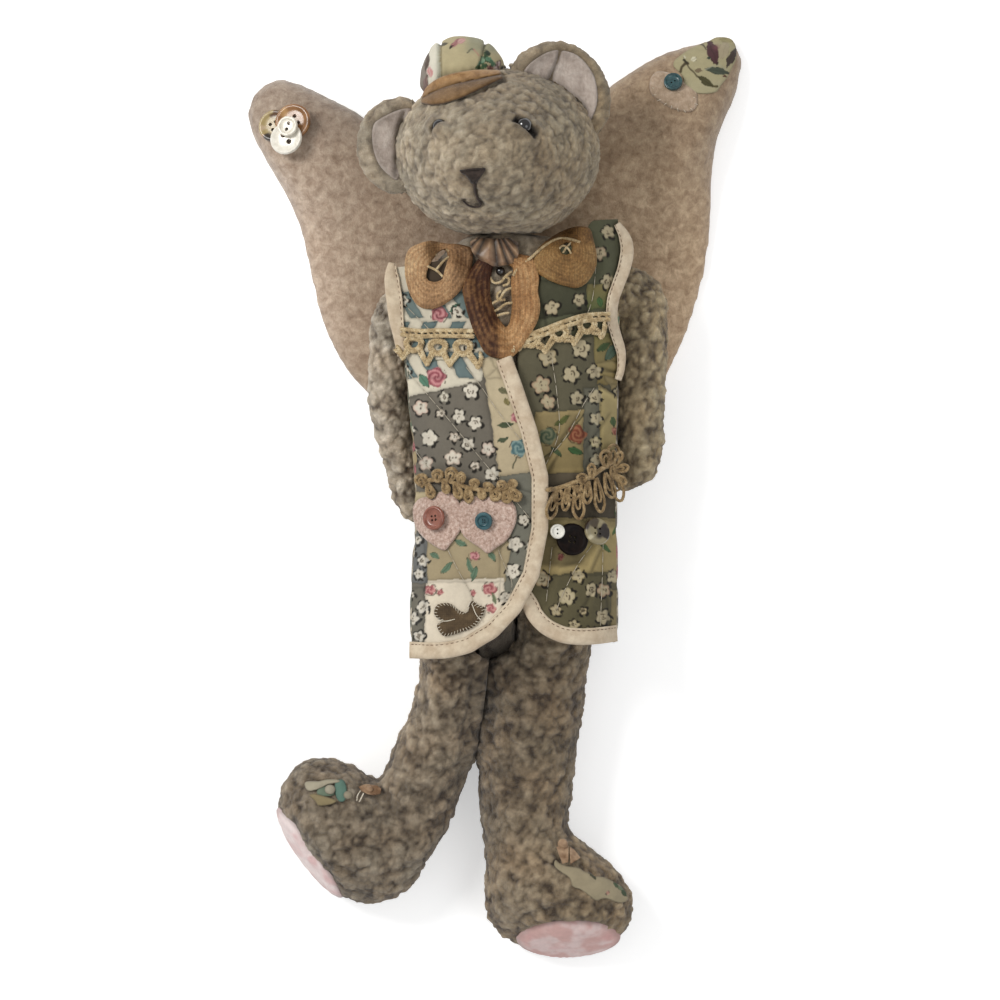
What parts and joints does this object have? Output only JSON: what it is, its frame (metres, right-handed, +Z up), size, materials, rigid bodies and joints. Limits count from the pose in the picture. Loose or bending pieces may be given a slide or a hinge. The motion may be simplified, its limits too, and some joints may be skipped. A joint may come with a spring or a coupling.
{
  "type": "jointed plush bear",
  "caption": "Jointed plush bear lying on its back, with stuffed felt wings, a quilted patchwork vest, a lace collar, a small flowered cap and button trims.",
  "frame": {"origin": "middle of the bear's box, on the ground it lies on", "axes": "+Y towards the top of the head, +Z up out of the bear's chest, +X towards the bear's left side"},
  "size_m": [0.2216, 0.4111, 0.0971],
  "materials": {
    "amber_plastic": "amber brown",
    "binding": "cream cotton tape",
    "braid": "woven straw-coloured braid",
    "brim_felt": "tan felt",
    "brown_plastic": "brown",
    "cap_cotton": "flowered cotton",
    "cream_plastic": "cream",
    "crochet": "crocheted cotton",
    "dark_plastic": "near black",
    "eye_glass": "black, polished",
    "hardboard": "brown board",
    "patchwork": "printed cotton, quilted",
    "pink_felt": "speckled felt",
    "plush": "curly pile, taupe",
    "satin": "satin ribbon",
    "sole_cloth": "pink cotton",
    "steel": "plain",
    "teal_plastic": "dark teal",
    "white_plastic": "off white",
    "wool_felt": "brushed wool"
  },
  "bodies": {
    "torso": {"armhole_binding_left": "binding", "armhole_binding_right": "binding", "binding_front_left": "binding", "binding_front_right": "binding", "button_brown": "brown_plastic", "button_cream": "cream_plastic", "button_dark": "dark_plastic", "button_teal_vest": "teal_plastic", "button_white_vest": "white_plastic", "chest_lace_left": "crochet", "chest_lace_right": "crochet", "collar_lace_centre": "braid", "collar_lace_left": "braid", "collar_lace_right": "braid", "felt_heart_inner": "pink_felt", "felt_heart_outer": "pink_felt", "hip_left_cotter_pin": "steel", "hip_left_torso_disc": "hardboard", "hip_right_cotter_pin": "steel", "hip_right_torso_disc": "hardboard", "neck_cotter_pin": "steel", "neck_rosette": "satin", "neck_torso_disc": "hardboard", "pocket_lace_left": "crochet", "pocket_lace_right": "crochet", "shoulder_left_cotter_pin": "steel", "shoulder_left_torso_disc": "hardboard", "shoulder_right_cotter_pin": "steel", "shoulder_right_torso_disc": "hardboard", "torso": "plush", "vest_back": "patchwork", "vest_front_left": "patchwork", "vest_front_right": "patchwork", "wing_button_amber": "amber_plastic", "wing_button_teal": "teal_plastic", "wing_button_tortoise": "amber_plastic", "wing_button_white_large": "white_plastic", "wing_button_white_small": "white_plastic", "wing_felt_patch": "pink_felt", "wing_left": "wool_felt", "wing_right": "wool_felt", "wing_tip_patch": "cap_cotton"},
    "head": {"ear_left": "plush", "ear_right": "plush", "eye_left": "eye_glass", "eye_right": "eye_glass", "hat_brim": "brim_felt", "hat_crown": "cap_cotton", "head": "plush", "neck_disc": "hardboard"},
    "arm_right": {"arm_right": "plush", "shoulder_right_disc": "hardboard"},
    "arm_left": {"arm_left": "plush", "shoulder_left_disc": "hardboard"},
    "leg_right": {"hip_right_disc": "hardboard", "leg_right": "plush", "sole_right": "sole_cloth"},
    "leg_left": {"hip_left_disc": "hardboard", "leg_left": "plush", "sole_left": "sole_cloth"}
  },
  "joints": [
    {"name": "neck_turn", "type": "hinge", "parent": "torso", "child": "head", "pos_m": [0.00307, 0.11411, 0.048], "axis": [0, 1, 0], "range_deg": [-25, 25]},
    {"name": "shoulder_right_swing", "type": "hinge", "parent": "torso", "child": "arm_right", "pos_m": [-0.03374, 0.0798, 0.03282], "axis": [-0.866, 0, -0.5], "range_deg": [0, 100]},
    {"name": "shoulder_left_swing", "type": "hinge", "parent": "torso", "child": "arm_left", "pos_m": [0.04861, 0.08942, 0.03297], "axis": [-0.866, 0, 0.5], "range_deg": [0, 100]},
    {"name": "hip_right_swing", "type": "hinge", "parent": "torso", "child": "leg_right", "pos_m": [-0.01093, -0.04539, 0.024], "axis": [-1, 0, 0], "range_deg": [0, 35]},
    {"name": "hip_left_swing", "type": "hinge", "parent": "torso", "child": "leg_left", "pos_m": [0.00907, -0.04539, 0.024], "axis": [-1, 0, 0], "range_deg": [0, 35]}
  ]
}
